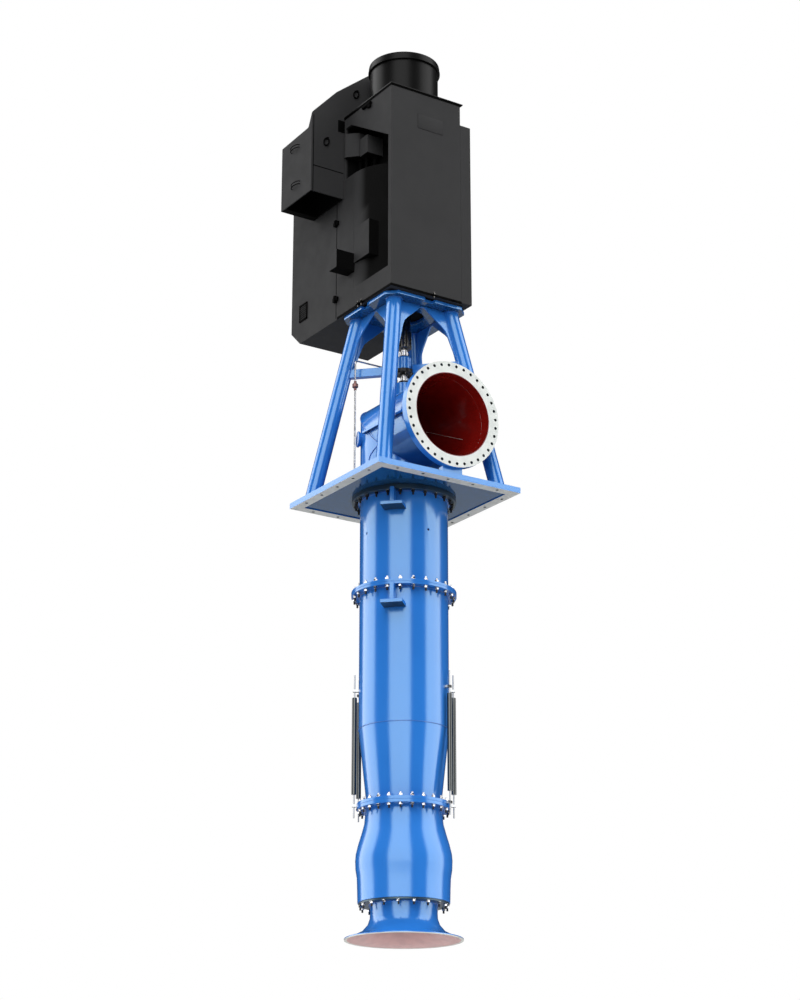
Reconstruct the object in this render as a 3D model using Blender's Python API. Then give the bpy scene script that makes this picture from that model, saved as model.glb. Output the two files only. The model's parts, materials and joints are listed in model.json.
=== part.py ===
"""Vertical circulating water pump with its motor, hung from a square base plate.

Metres, +Z up. The discharge faces -Y. The origin lies on the underside of the
sole frame, mid-way along its discharge side. Pieces are modelled about the
shaft axis and hang from an empty that stands on it.
"""

import math

import bmesh
import bpy

# Gap left between pieces that touch
GAP = 0.0003

# Distance from the origin to the shaft axis
AXIS_Y = 0.915

# Base plate and sole frame
PLATE_HALF = 1.027
PLATE_TOP = 0.072
SOLE_INNER_HALF = 0.895
SOLE_TOP = 0.0117
ANCHOR_ROW = 0.965
ANCHOR_PITCH = 0.36
ANCHOR_HOLE_R = 0.02
HOLE_SIDES = 8
HOLE_START = math.pi / HOLE_SIDES

# Discharge head
PIPE_R = 0.54
BORE_R = 0.525
DISCHARGE_Z = 0.80
DISCHARGE_FACE = 1.08
FLANGE_R = 0.673
FLANGE_BACK = 0.99
FLANGE_HUB_END = 0.93
BOLT_CIRCLE_R = 0.62865
BOLT_COUNT = 36
BOLT_HOLE_R = 0.0205

# Column and bowl
COLUMN_FLANGE_R = 0.64
COLUMN_JOINT_Z = -1.217
COLUMN_FLANGE_T = 0.031
VENT_Z = -0.515
VENT_R = 0.015
TAPER_TOP_Z = -2.89
BOWL_JOINT_Z = -3.813
BOWL_FLANGE_R = 0.555
BOWL_FLANGE_T = 0.039
BELL_JOINT_Z = -4.94
BELL_RIM_Z = -5.365

# Rotor
SHAFT_R = 0.045
BEARING_R = 0.0456
RUNNING_R = 0.0505
MOTOR_SHAFT_R = 0.085
COUPLING_R = 0.095
IMPELLER_R = 0.355
IMPELLER_HUB_R = 0.13
IMPELLER_TOP_Z = -4.90
SHAFT_TOP_Z = 2.02
COUPLING_SPLIT_Z = 2.10

# Motor stand
STAND_TOP_Z = 2.505
STAND_UNDER_Z = 2.46
STAND_HALF = 0.597
LEG_R = 0.097
LEG_FOOT_HALF = 0.829
LEG_SLOPE = 0.1708
BEAM_LOW_Z = 1.682
BEAM_HIGH_Z = 1.792
SEAL_FLANGE_R = 0.125
SEAL_HOUSING_R = 0.10

# Motor enclosure
MOTOR_BOTTOM_Z = STAND_TOP_Z + GAP
MOTOR_TOP_Z = 5.3175
MOTOR_LEFT = -0.625
MOTOR_RIGHT = 0.43
MOTOR_FRONT = -0.663
MOTOR_REAR = 1.757
PANEL_RIGHT = 0.59
PANEL_REAR = 0.417
PANEL_TOP_Z = 5.03
REAR_BEVEL_Y = 0.22
REAR_BEVEL_Z = 0.205
ROOF_T = 0.0147
HOUSING_R = 0.445
HOUSING_TOP_Z = 5.93
CAP_R = 0.465
CAP_TOP_Z = 6.04

# Recess in the left wall, with the round stator frame showing in its lower part
RECESS_BACK = -0.33
RECESS_FRONT_Y = -0.592
RECESS_REAR_Y = 0.43
RECESS_LOW_Z = 2.80
RECESS_STEP_Z = 4.42
RECESS_TOP_Z = 4.62
RECESS_PEAK_Y = 0.30
RECESS_PEAK_Z = 5.16
STATOR_R = 0.648
STATOR_X = 0.025
STATOR_Y = 0.22

# Air hoods
HOOD_FRONT = 0.467
HOOD_REAR = 1.227
HOOD_LOW_Z = 4.15
HOOD_WALL = 0.02
HOOD_MIDDLE_X = -0.054
HOOD_HALF = 1.07
HOOD_KNEE_HALF = 0.697
DUCT_HALF = 0.212

# Colours as linear red, green, blue
BLUE = (0.020, 0.150, 0.560)
CHARCOAL = (0.045, 0.045, 0.047)
OFF_WHITE = (0.72, 0.70, 0.67)
STEEL = (0.45, 0.45, 0.46)
DARK_STEEL = (0.06, 0.06, 0.065)
BRASS = (0.36, 0.20, 0.12)


def clear_scene():
    for obj in list(bpy.data.objects):
        bpy.data.objects.remove(obj)


def make_material(name, colour, roughness, metallic=0.0):
    material = bpy.data.materials.new(name)
    material.use_nodes = True
    shader = material.node_tree.nodes["Principled BSDF"]
    shader.inputs["Base Color"].default_value = (*colour, 1.0)
    shader.inputs["Roughness"].default_value = roughness
    shader.inputs["Metallic"].default_value = metallic
    return material


def make_axis():
    """The empty on the shaft axis that every piece hangs from."""
    empty = bpy.data.objects.new("shaft_axis", None)
    bpy.context.scene.collection.objects.link(empty)
    empty.location = (0, AXIS_Y, 0)
    return empty


def add_object(name, bm, material, helper=False):
    """Turns a bmesh into an object under the shaft axis."""
    bmesh.ops.recalc_face_normals(bm, faces=bm.faces)
    mesh = bpy.data.meshes.new(name)
    bm.to_mesh(mesh)
    bm.free()
    mesh.shade_smooth()
    mesh.set_sharp_from_angle(angle=math.radians(35))
    obj = bpy.data.objects.new(name, mesh)
    bpy.context.scene.collection.objects.link(obj)
    obj.parent = AXIS
    if helper:
        obj.hide_render = True
        obj.display_type = "WIRE"
    else:
        mesh.materials.append(material)
    return obj


def boolean(obj, other, operation):
    modifier = obj.modifiers.new(operation.lower(), "BOOLEAN")
    modifier.operation = operation
    modifier.object = other
    modifier.solver = "EXACT"


def box_mesh(low, high, bm=None):
    bm = bm or bmesh.new()
    corners = [
        bm.verts.new((x, y, z))
        for x in (low[0], high[0])
        for y in (low[1], high[1])
        for z in (low[2], high[2])
    ]
    for ring in ((0, 1, 3, 2), (4, 6, 7, 5), (0, 4, 5, 1), (2, 3, 7, 6), (0, 2, 6, 4), (1, 5, 7, 3)):
        bm.faces.new([corners[index] for index in ring])
    return bm


def ring_points(radius, count, start=0.0):
    """Points of a circle as (cos, sin) pairs times the radius."""
    step = 2 * math.pi / count
    return [(radius * math.cos(start + step * i), radius * math.sin(start + step * i)) for i in range(count)]


def skin_rings(bm, rings, closed_loop):
    """Joins equal rings of vertices with quads, and caps the ends unless the rings form a loop."""
    count = len(rings[0])
    last = len(rings) if closed_loop else len(rings) - 1
    for i in range(last):
        low, high = rings[i], rings[(i + 1) % len(rings)]
        for j in range(count):
            k = (j + 1) % count
            bm.faces.new((low[j], low[k], high[k], high[j]))
    if not closed_loop:
        bm.faces.new(rings[0])
        bm.faces.new(rings[-1])


def turned_mesh(profile, count=48, hollow=True):
    """Turns (radius, z) points about the shaft axis. A hollow profile is a closed loop."""
    bm = bmesh.new()
    rings = [[bm.verts.new((x, y, z)) for x, y in ring_points(r, count)] for r, z in profile]
    skin_rings(bm, rings, hollow)
    return bm


def to_discharge_axis(bm):
    """Swings a mesh turned about Z round to the discharge axis, with +Z towards -Y."""
    for vert in bm.verts:
        x, y, z = vert.co
        vert.co = (x, -z, DISCHARGE_Z + y)
    return bm


def spin_about_axis(bm, degrees):
    turn = math.radians(degrees)
    for vert in bm.verts:
        x, y, z = vert.co
        vert.co = (x * math.cos(turn) - y * math.sin(turn), x * math.sin(turn) + y * math.cos(turn), z)
    return bm


def cylinder_cutter(name, radius, low, high, count=48):
    bm = turned_mesh([(radius, high), (radius, low)], count, hollow=False)
    return add_object(name, bm, None, helper=True)


def prism_mesh(outline, low, high, axis):
    """Extrudes an outline of (a, b) points along X ("X": a is y, b is z) or Y ("Y": a is x, b is z)
    or Z ("Z": a is x, b is y)."""
    bm = bmesh.new()

    def place(a, b, c):
        return {"X": (c, a, b), "Y": (a, c, b), "Z": (a, b, c)}[axis]

    rings = [[bm.verts.new(place(a, b, c)) for a, b in outline] for c in (low, high)]
    skin_rings(bm, rings, closed_loop=False)
    return bm


def leg_half(z):
    """Distance of a leg's centre line from both mid-planes at height z."""
    return LEG_FOOT_HALF - LEG_SLOPE * (z - PLATE_TOP)


# Base plate and sole frame


def anchor_hole_centres():
    run = [ANCHOR_PITCH * i for i in (-2, -1, 0, 1, 2)]
    sides = [(a, s * ANCHOR_ROW) for a in run for s in (-1, 1)]
    return sides + [(b, a) for a, b in sides]


def anchor_hole_cutter():
    bm = bmesh.new()
    for x, y in anchor_hole_centres():
        rings = []
        for z in (-0.01, PLATE_TOP + 0.01):
            ring = ring_points(ANCHOR_HOLE_R, HOLE_SIDES, HOLE_START)
            rings.append([bm.verts.new((x + a, y + b, z)) for a, b in ring])
        skin_rings(bm, rings, closed_loop=False)
    return add_object("cut_anchor_holes", bm, None, helper=True)


def square_ring_mesh(outer, inner, low, high):
    bm = bmesh.new()
    rings = []
    for half, z in ((outer, high), (outer, low), (inner, low), (inner, high)):
        corners = ((-1, -1), (1, -1), (1, 1), (-1, 1))
        rings.append([bm.verts.new((sx * half, sy * half, z)) for sx, sy in corners])
    skin_rings(bm, rings, closed_loop=True)
    return bm


def make_base():
    holes = anchor_hole_cutter()
    low = (-PLATE_HALF, -PLATE_HALF, SOLE_TOP + GAP)
    high = (PLATE_HALF, PLATE_HALF, PLATE_TOP)
    plate = add_object("base_plate", box_mesh(low, high), PAINT)
    boolean(plate, cylinder_cutter("cut_plate_bore", BORE_R, -0.1, 0.2, 64), "DIFFERENCE")
    boolean(plate, holes, "DIFFERENCE")
    frame = add_object("sole_frame", square_ring_mesh(PLATE_HALF, SOLE_INNER_HALF, 0, SOLE_TOP), BARE)
    boolean(frame, holes, "DIFFERENCE")


# Discharge head


def elbow_mesh():
    """A mitred elbow of two equal pipes, as a shell."""
    bm = bmesh.new()
    rings = []
    for radius, inner in ((PIPE_R, False), (BORE_R, True)):
        circle = ring_points(radius, 48)
        foot = [bm.verts.new((a, b, PLATE_TOP + GAP)) for a, b in circle]
        mitre = [bm.verts.new((a, b, DISCHARGE_Z + b)) for a, b in circle]
        mouth = [bm.verts.new((a, -FLANGE_HUB_END + GAP, DISCHARGE_Z + b)) for a, b in circle]
        rings += [mouth, mitre, foot] if inner else [foot, mitre, mouth]
    skin_rings(bm, rings, closed_loop=True)
    return bm


def make_elbow():
    elbow = add_object("discharge_elbow", elbow_mesh(), PAINT)
    boolean(elbow, cylinder_cutter("cut_shaft_hole", 0.07, 1.2, 1.5, 32), "DIFFERENCE")
    for name, side in (("left", -1), ("right", 1)):
        x = sorted((side * (PIPE_R - 0.008), side * (PIPE_R + 0.045)))
        rib = box_mesh((x[0], -FLANGE_HUB_END + 0.1, DISCHARGE_Z - 0.015), (x[1], 0.05, DISCHARGE_Z + 0.015))
        boolean(elbow, add_object("join_rib_" + name, rib, None, helper=True), "UNION")


def make_discharge_flange():
    profile = [
        (PIPE_R, FLANGE_HUB_END),
        (0.575, FLANGE_BACK),
        (FLANGE_R, FLANGE_BACK),
        (FLANGE_R, DISCHARGE_FACE),
        (BORE_R, DISCHARGE_FACE),
        (BORE_R, FLANGE_HUB_END),
    ]
    flange = add_object("discharge_flange", to_discharge_axis(turned_mesh(profile, 72)), PAINT)
    bm = bmesh.new()
    for i in range(BOLT_COUNT):
        turn = math.radians(360 / BOLT_COUNT * (i + 0.5))
        x, z = BOLT_CIRCLE_R * math.sin(turn), DISCHARGE_Z + BOLT_CIRCLE_R * math.cos(turn)
        rings = []
        for y in (-DISCHARGE_FACE - 0.01, -FLANGE_BACK + 0.01):
            ring = ring_points(BOLT_HOLE_R, HOLE_SIDES, HOLE_START)
            rings.append([bm.verts.new((x + a, y, z + b)) for a, b in ring])
        skin_rings(bm, rings, closed_loop=False)
    boolean(flange, add_object("cut_flange_holes", bm, None, helper=True), "DIFFERENCE")


def make_discharge_support():
    left, right, front, top = -0.11, 0.17, -1.02, 0.165
    bm = box_mesh((left, front, PLATE_TOP + GAP), (right, -FLANGE_HUB_END, top))
    support = add_object("discharge_support", bm, PAINT)
    saddle = to_discharge_axis(turned_mesh([(FLANGE_R + GAP, 1.1), (FLANGE_R + GAP, 0.8)], 72, hollow=False))
    boolean(support, add_object("cut_saddle", saddle, None, helper=True), "DIFFERENCE")


def make_access_cover():
    """A round hand-hole cover on the back of the elbow, on a short neck."""
    centre_z = 0.77
    bm = turned_mesh([(0.10, 0.59), (0.10, 0.565), (0.085, 0.565), (0.085, 0.40)], 32, hollow=False)
    for vert in bm.verts:
        x, y, z = vert.co
        vert.co = (x, -z, centre_z + y)
    cover = add_object("access_cover", spin_about_axis(bm, -112), PAINT)
    body = cylinder_cutter("cut_cover_seat", PIPE_R + GAP, 0.3, 1.2)
    boolean(cover, body, "DIFFERENCE")


# Column, bowl and bell


def vent_cutter(name, azimuth):
    """A long thin rod that cuts two opposite vent holes."""
    bm = bmesh.new()
    rings = []
    for y in (-0.7, 0.7):
        ring = ring_points(VENT_R, HOLE_SIDES, HOLE_START)
        rings.append([bm.verts.new((a, y, VENT_Z + b)) for a, b in ring])
    skin_rings(bm, rings, closed_loop=False)
    return add_object(name, spin_about_axis(bm, azimuth), None, helper=True)


def make_upper_column():
    t = COLUMN_FLANGE_T
    profile = [
        (COLUMN_FLANGE_R, SOLE_TOP),
        (COLUMN_FLANGE_R, -0.05),
        (PIPE_R, -0.05),
        (PIPE_R, COLUMN_JOINT_Z + t),
        (COLUMN_FLANGE_R, COLUMN_JOINT_Z + t),
        (COLUMN_FLANGE_R, COLUMN_JOINT_Z),
        (BORE_R, COLUMN_JOINT_Z),
        (BORE_R, SOLE_TOP),
    ]
    column = add_object("upper_column", turned_mesh(profile), PAINT)
    for name, azimuth in (("sides", 90), ("ends", 0)):
        boolean(column, vent_cutter("cut_vents_" + name, azimuth), "DIFFERENCE")


def make_lower_column():
    top = COLUMN_JOINT_Z - GAP
    flange_top = BOWL_JOINT_Z + BOWL_FLANGE_T
    profile = [
        (COLUMN_FLANGE_R, top),
        (COLUMN_FLANGE_R, top - COLUMN_FLANGE_T),
        (PIPE_R, top - COLUMN_FLANGE_T),
        (PIPE_R, TAPER_TOP_Z),
        (0.443, flange_top),
        (BOWL_FLANGE_R, flange_top),
        (BOWL_FLANGE_R, BOWL_JOINT_Z),
        (0.428, BOWL_JOINT_Z),
        (BORE_R, TAPER_TOP_Z),
        (BORE_R, top),
    ]
    add_object("lower_column", turned_mesh(profile), PAINT)


BOWL_OUTSIDE = [(0.452, -3.852), (0.466, -4.02), (0.499, -4.14), (0.534, -4.255), (0.562, -4.37)]
BOWL_OUTSIDE += [(0.569, -4.45), (0.565, -4.55), (0.549, -4.65), (0.544, -4.78), (0.54, BELL_JOINT_Z)]
BOWL_INSIDE = [(0.51, BELL_JOINT_Z), (0.512, -4.66), (0.538, -4.45), (0.505, -4.255), (0.434, -4.02)]
BOWL_INSIDE += [(0.425, BOWL_JOINT_Z - GAP)]


def make_bowl():
    top = BOWL_JOINT_Z - GAP
    profile = [(BOWL_FLANGE_R, top), (BOWL_FLANGE_R, BOWL_OUTSIDE[0][1])] + BOWL_OUTSIDE + BOWL_INSIDE
    add_object("diffuser_bowl", turned_mesh(profile), PAINT)


def make_diffuser_vanes():
    """A bearing hub in the bowl, carried by four straight vanes."""
    hub = [(0.10, -4.30), (0.17, -4.42), (0.17, -4.74), (0.14, -4.84), (BEARING_R, -4.84), (BEARING_R, -4.30)]
    vanes = add_object("diffuser_vanes", turned_mesh(hub, 32), PAINT)
    for i in range(4):
        blade = spin_about_axis(box_mesh((0.12, -0.012, -4.72), (0.6, 0.012, -4.42)), 90 * i + 45)
        boolean(vanes, add_object("join_vane_%d" % (i + 1), blade, None, helper=True), "UNION")
    inside = [(r - GAP, z) for r, z in reversed(BOWL_INSIDE)]
    room = add_object("trim_vanes", turned_mesh(inside, 48, hollow=False), None, helper=True)
    boolean(vanes, room, "INTERSECT")


def make_suction_bell():
    top = BELL_JOINT_Z - GAP
    flange_low = BELL_JOINT_Z - 0.022
    outside = [(0.53, top), (0.53, flange_low), (0.40, flange_low)]
    outside += [(0.392, -5.05), (0.396, -5.12), (0.42, -5.19)]
    outside += [(0.49, -5.27), (0.59, -5.318), (0.693, BELL_RIM_Z + 0.018)]
    outside += [(0.693, BELL_RIM_Z)]
    inside = [(0.67, BELL_RIM_Z), (0.57, -5.335), (0.475, -5.285), (0.40, -5.205)]
    inside += [(0.374, -5.10), (0.378, top)]
    add_object("suction_bell", turned_mesh(outside + inside), PAINT)


def make_lifting_lug(name, plate_low, web_high, azimuth):
    """A radial web under a column flange with a wide foot plate across its lower end."""
    plate_high = plate_low + 0.043
    plate_half, web_half, outer, web_outer, inner = 0.135, 0.025, 0.75, 0.72, 0.45
    bm = box_mesh((-plate_half, -outer, plate_low), (plate_half, -inner, plate_high))
    lug = add_object(name, spin_about_axis(bm, azimuth), PAINT)
    bm = box_mesh((-web_half, -web_outer, plate_high - 0.01), (web_half, -inner, web_high - GAP))
    web = add_object("join_" + name, spin_about_axis(bm, azimuth), None, helper=True)
    boolean(lug, web, "UNION")
    boolean(lug, COLUMN_BODY, "DIFFERENCE")


def make_lifting_lugs():
    for name, azimuth in (("near", -45), ("far", 135)):
        make_lifting_lug("upper_lug_" + name, -0.283, -0.05, azimuth)
        web_high = COLUMN_JOINT_Z - COLUMN_FLANGE_T - GAP
        make_lifting_lug("lower_lug_" + name, -1.509, web_high, azimuth)


def make_anode(name, azimuth):
    """A zinc rod on a threaded stem, with a clip to the column at each end."""
    ring_r = 0.59
    profile = [(0.009, -2.21), (0.009, -2.49), (0.03, -2.49), (0.03, -3.66), (0.009, -3.66), (0.009, -3.94)]
    bm = turned_mesh(profile, 12, hollow=False)
    for vert in bm.verts:
        vert.co.y -= ring_r
    rod = add_object(name, spin_about_axis(bm, azimuth), ZINC)
    clips = (
        ("top", PIPE_R + GAP, -2.42, -2.39),
        ("end", BOWL_FLANGE_R + GAP, BOWL_JOINT_Z + 0.004, BOWL_JOINT_Z + 0.034),
    )
    for tag, seat, low, high in clips:
        clip = spin_about_axis(box_mesh((-0.025, -ring_r - 0.02, low), (0.025, -0.5, high)), azimuth)
        body = add_object("join_%s_%s" % (name, tag), clip, None, helper=True)
        boolean(body, cylinder_cutter("seat_%s_%s" % (name, tag), seat, low - 0.1, high + 0.1), "DIFFERENCE")
        boolean(rod, body, "UNION")


# Rotor


def blade_mesh(azimuth):
    """One twisted impeller blade as a grid of points with a constant thickness."""
    bm = bmesh.new()
    chord_half, thickness = 0.11, 0.016
    layers = []
    for side in (-1, 1):
        rows = []
        for r in (0.10, 0.19, 0.27, IMPELLER_R):
            pitch = math.atan2(0.16, r)
            row = []
            for s in (-1.0, -0.33, 0.33, 1.0):
                along, up = s * chord_half * math.cos(pitch), s * chord_half * math.sin(pitch)
                up += side * thickness / 2
                turn = math.asin(along / r) if abs(along) < r else math.copysign(1.2, along)
                row.append(bm.verts.new((r * math.sin(turn), -r * math.cos(turn), -5.06 + up)))
            rows.append(row)
        layers.append(rows)
    low, high = layers
    for rows, flip in ((low, True), (high, False)):
        for i in range(3):
            for j in range(3):
                quad = (rows[i][j], rows[i][j + 1], rows[i + 1][j + 1], rows[i + 1][j])
                bm.faces.new(quad[::-1] if flip else quad)
    edge = [(0, j) for j in range(3)] + [(i, 3) for i in range(3)]
    edge += [(3, j) for j in (3, 2, 1)] + [(i, 0) for i in (3, 2, 1)]
    for a, b in zip(edge, edge[1:] + edge[:1]):
        bm.faces.new((low[a[0]][a[1]], low[b[0]][b[1]], high[b[0]][b[1]], high[a[0]][a[1]]))
    return spin_about_axis(bm, azimuth)


def make_impeller():
    hub = [(0.075, IMPELLER_TOP_Z), (0.11, -4.96), (IMPELLER_HUB_R, -5.02), (IMPELLER_HUB_R, -5.12)]
    hub += [(0.10, -5.19), (0.045, -5.225)]
    impeller = add_object("impeller", turned_mesh(hub, 32, hollow=False), BRONZE)
    for i in range(4):
        blade = add_object("join_blade_%d" % (i + 1), blade_mesh(90 * i), None, helper=True)
        boolean(impeller, blade, "UNION")


def make_rotor():
    make_impeller()
    shaft = [(SHAFT_R, SHAFT_TOP_Z - GAP), (SHAFT_R, IMPELLER_TOP_Z + GAP)]
    add_object("line_shaft", turned_mesh(shaft, 32, hollow=False), SHAFT_STEEL)
    collar = [(0.058, 1.975), (0.058, 1.925), (SHAFT_R + GAP, 1.925), (SHAFT_R + GAP, 1.975)]
    add_object("shaft_collar", turned_mesh(collar, 32), SHAFT_STEEL)
    split = COUPLING_SPLIT_Z
    half = [(COUPLING_R, split - GAP), (COUPLING_R, SHAFT_TOP_Z + 0.01), (COUPLING_R - 0.01, SHAFT_TOP_Z)]
    add_object("pump_coupling", turned_mesh(half, 32, hollow=False), DARK)
    half = [(MOTOR_SHAFT_R, 2.62), (MOTOR_SHAFT_R, 2.26), (COUPLING_R, 2.25), (COUPLING_R, split)]
    add_object("motor_coupling", turned_mesh(half, 32, hollow=False), DARK)


# Shaft seal


def make_seal():
    pedestal_top, gland_top, housing_low = 1.52, 1.58, 1.73
    pedestal = [(0.16, pedestal_top), (0.16, 1.20), (0.06, 1.20), (0.06, pedestal_top)]
    body = add_object("seal_pedestal", turned_mesh(pedestal, 32), PAINT)
    pipe = to_discharge_axis(turned_mesh([(PIPE_R + GAP, 0.9), (PIPE_R + GAP, -0.9)], 48, hollow=False))
    boolean(body, add_object("cut_pedestal_seat", pipe, None, helper=True), "DIFFERENCE")
    low = pedestal_top + GAP
    gland = [(0.07, gland_top), (0.07, 1.555), (0.10, 1.55), (0.10, low)]
    gland += [(RUNNING_R, low), (RUNNING_R, gland_top)]
    add_object("packing_gland", turned_mesh(gland, 32), DARK)
    flange = [(SEAL_FLANGE_R, housing_low - GAP), (SEAL_FLANGE_R, BEAM_LOW_Z)]
    flange += [(RUNNING_R, BEAM_LOW_Z), (RUNNING_R, housing_low - GAP)]
    add_object("seal_flange", turned_mesh(flange, 32), DARK)
    housing = [(0.085, 1.905), (SEAL_HOUSING_R, 1.885), (SEAL_HOUSING_R, housing_low)]
    housing += [(BEARING_R, housing_low), (BEARING_R, 1.905)]
    add_object("seal_housing", turned_mesh(housing, 32), PAINT)


def make_seal_water():
    """A thin pipe that rises from the base plate, turns along X and ends at the seal housing."""
    rise_x, run_y, run_z, bend = -0.54, 0.29, 1.85, 0.04
    stop_x, stop_y = -0.03, SEAL_HOUSING_R - 0.0014
    points = [(rise_x, run_y, PLATE_TOP + GAP), (rise_x, run_y, run_z - bend)]
    for i in (1, 2, 3):
        turn = math.radians(30 * i)
        points.append((rise_x + bend * (1 - math.cos(turn)), run_y, run_z - bend + bend * math.sin(turn)))
    points.append((stop_x - bend, run_y, run_z))
    for i in (1, 2, 3):
        turn = math.radians(30 * i)
        points.append((stop_x - bend + bend * math.sin(turn), run_y - bend * (1 - math.cos(turn)), run_z))
    points.append((stop_x, stop_y, run_z))
    curve = bpy.data.curves.new("seal_water_pipe", "CURVE")
    curve.dimensions = "3D"
    curve.bevel_depth = 0.011
    curve.bevel_resolution = 2
    curve.use_fill_caps = True
    spline = curve.splines.new("POLY")
    spline.points.add(len(points) - 1)
    for point, place in zip(spline.points, points):
        point.co = (*place, 1.0)
    pipe = bpy.data.objects.new("seal_water_pipe", curve)
    bpy.context.scene.collection.objects.link(pipe)
    pipe.parent = AXIS
    curve.materials.append(SHAFT_STEEL)
    valve = [(0.018, 1.57), (0.018, 1.545), (0.038, 1.53), (0.038, 1.49), (0.018, 1.475), (0.018, 1.45)]
    bore = 0.011 + GAP
    bm = turned_mesh(valve + [(bore, 1.45), (bore, 1.57)], 16)
    for vert in bm.verts:
        vert.co.x += rise_x
        vert.co.y += run_y
    add_object("seal_water_valve", bm, BRONZE)


# Motor stand


def stand_plate_outline():
    """A square with cut corners and a shallow notch in the middle of each side."""
    half, corner, notch_half, notch_in = STAND_HALF, 0.12, 0.07, 0.05
    side = [(-half + corner, -half), (-notch_half, -half), (-notch_half, -half + notch_in)]
    side += [(notch_half, -half + notch_in), (notch_half, -half), (half - corner, -half)]
    outline = []
    for turn in range(4):
        for x, y in side:
            for _ in range(turn):
                x, y = -y, x
            outline.append((x, y))
    return outline


def make_stand_plate():
    bm = prism_mesh(stand_plate_outline(), STAND_UNDER_Z, STAND_TOP_Z, "Z")
    plate = add_object("stand_top_plate", bm, PAINT)
    boolean(plate, cylinder_cutter("cut_stand_hole", 0.25, 2.4, 2.6), "DIFFERENCE")


def leg_mesh(sx, sy, radius, low, high):
    bm = bmesh.new()
    rings = []
    for z in (high, low):
        half = leg_half(z)
        rings.append([bm.verts.new((sx * half + a, sy * half + b, z)) for a, b in ring_points(radius, 24)])
    skin_rings(bm, rings, closed_loop=False)
    return bm


LEGS = (("near", -1, -1), ("right", 1, -1), ("far", 1, 1), ("left", -1, 1))


def make_legs():
    """Four splayed pipe legs, and a slightly fatter cutter round each for what meets them."""
    cutters = {}
    for name, sx, sy in LEGS:
        top = STAND_UNDER_Z - GAP
        add_object("stand_leg_" + name, leg_mesh(sx, sy, LEG_R, PLATE_TOP + GAP, top), PAINT)
        fat = leg_mesh(sx, sy, LEG_R + 2 * GAP, PLATE_TOP - 0.1, STAND_UNDER_Z + 0.1)
        cutters[name] = add_object("cut_leg_" + name, fat, None, helper=True)
    return cutters


def arch_outline():
    """Outline of one panel as (across, z): a slanted haunch at each leg, joined by a thin strip."""
    low, top = 1.66, STAND_UNDER_Z - GAP
    right = [(0.03, 2.44), (0.10, 2.375), (0.17, 2.31), (0.25, 2.24), (0.305, 2.18), (0.335, 2.11)]
    right += [(0.36, 2.02), (0.43, 1.79), (leg_half(low), low), (leg_half(top), top)]
    return right + [(-across, z) for across, z in reversed(right)]


def make_arches(cutters):
    """A panel with an arched opening between each pair of neighbouring legs."""
    half_t = 0.011
    sides = (
        ("front", "near", "right"),
        ("right", "right", "far"),
        ("rear", "far", "left"),
        ("left", "left", "near"),
    )
    for turn, (name, first, second) in enumerate(sides):
        bm = bmesh.new()
        rings = []
        for side in (-half_t, half_t):
            rings.append([bm.verts.new((a, -leg_half(z) + side, z)) for a, z in arch_outline()])
        skin_rings(bm, rings, closed_loop=False)
        arch = add_object("stand_arch_" + name, spin_about_axis(bm, 90 * turn), PAINT)
        boolean(arch, cutters[first], "DIFFERENCE")
        boolean(arch, cutters[second], "DIFFERENCE")


def make_beams(cutters):
    """Two beams that hold the seal housing from the left and right legs."""
    inner, outer, half = 0.11, 0.80, 0.04
    hub = cylinder_cutter("cut_beam_ends", SEAL_FLANGE_R + GAP, 1.6, 1.9, 32)
    for name, azimuth in (("left", -135), ("right", 45)):
        bm = box_mesh((-half, -outer, BEAM_LOW_Z), (half, -inner, BEAM_HIGH_Z))
        beam = add_object("steady_beam_" + name, spin_about_axis(bm, azimuth), PAINT)
        boolean(beam, hub, "DIFFERENCE")
        boolean(beam, cutters[name], "DIFFERENCE")


# Motor


def stator_form(name, radius):
    """The round stator frame as a helper, on its own upright axis."""
    bm = turned_mesh([(radius, RECESS_STEP_Z + 0.2), (radius, RECESS_LOW_Z - 0.2)], 96, hollow=False)
    for vert in bm.verts:
        vert.co.x += STATOR_X
        vert.co.y += STATOR_Y
    return add_object(name, bm, None, helper=True)


def lower_recess_cutter():
    """The deep front end of the recess, which runs out along the round stator frame."""
    low = (MOTOR_LEFT - 0.1, RECESS_FRONT_Y, RECESS_LOW_Z)
    high = (RECESS_BACK, STATOR_Y, RECESS_STEP_Z + 0.01)
    cutter = add_object("cut_lower_recess", box_mesh(low, high), None, helper=True)
    boolean(cutter, stator_form("keep_stator", STATOR_R), "DIFFERENCE")
    return cutter


def upper_recess_cutter():
    """The flat-backed top of the recess, under an edge that climbs to the rear."""
    outline = [
        (RECESS_FRONT_Y, RECESS_STEP_Z),
        (RECESS_REAR_Y, RECESS_STEP_Z),
        (RECESS_REAR_Y, RECESS_PEAK_Z),
        (RECESS_PEAK_Y, RECESS_PEAK_Z),
        (RECESS_FRONT_Y, RECESS_TOP_Z),
    ]
    bm = prism_mesh(outline, MOTOR_LEFT - 0.1, RECESS_BACK, "X")
    return add_object("cut_upper_recess", bm, None, helper=True)


def make_motor_body():
    outline = [
        (MOTOR_FRONT, MOTOR_BOTTOM_Z),
        (MOTOR_REAR - REAR_BEVEL_Y, MOTOR_BOTTOM_Z),
        (MOTOR_REAR, MOTOR_BOTTOM_Z + REAR_BEVEL_Z),
        (MOTOR_REAR, MOTOR_TOP_Z),
        (MOTOR_FRONT, MOTOR_TOP_Z),
    ]
    body = add_object("motor_body", prism_mesh(outline, MOTOR_LEFT, MOTOR_RIGHT, "X"), CASING)
    boolean(body, lower_recess_cutter(), "DIFFERENCE")
    boolean(body, upper_recess_cutter(), "DIFFERENCE")
    boolean(body, cylinder_cutter("cut_motor_bore", MOTOR_SHAFT_R + 0.011, 2.4, 2.65, 32), "DIFFERENCE")


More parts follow.
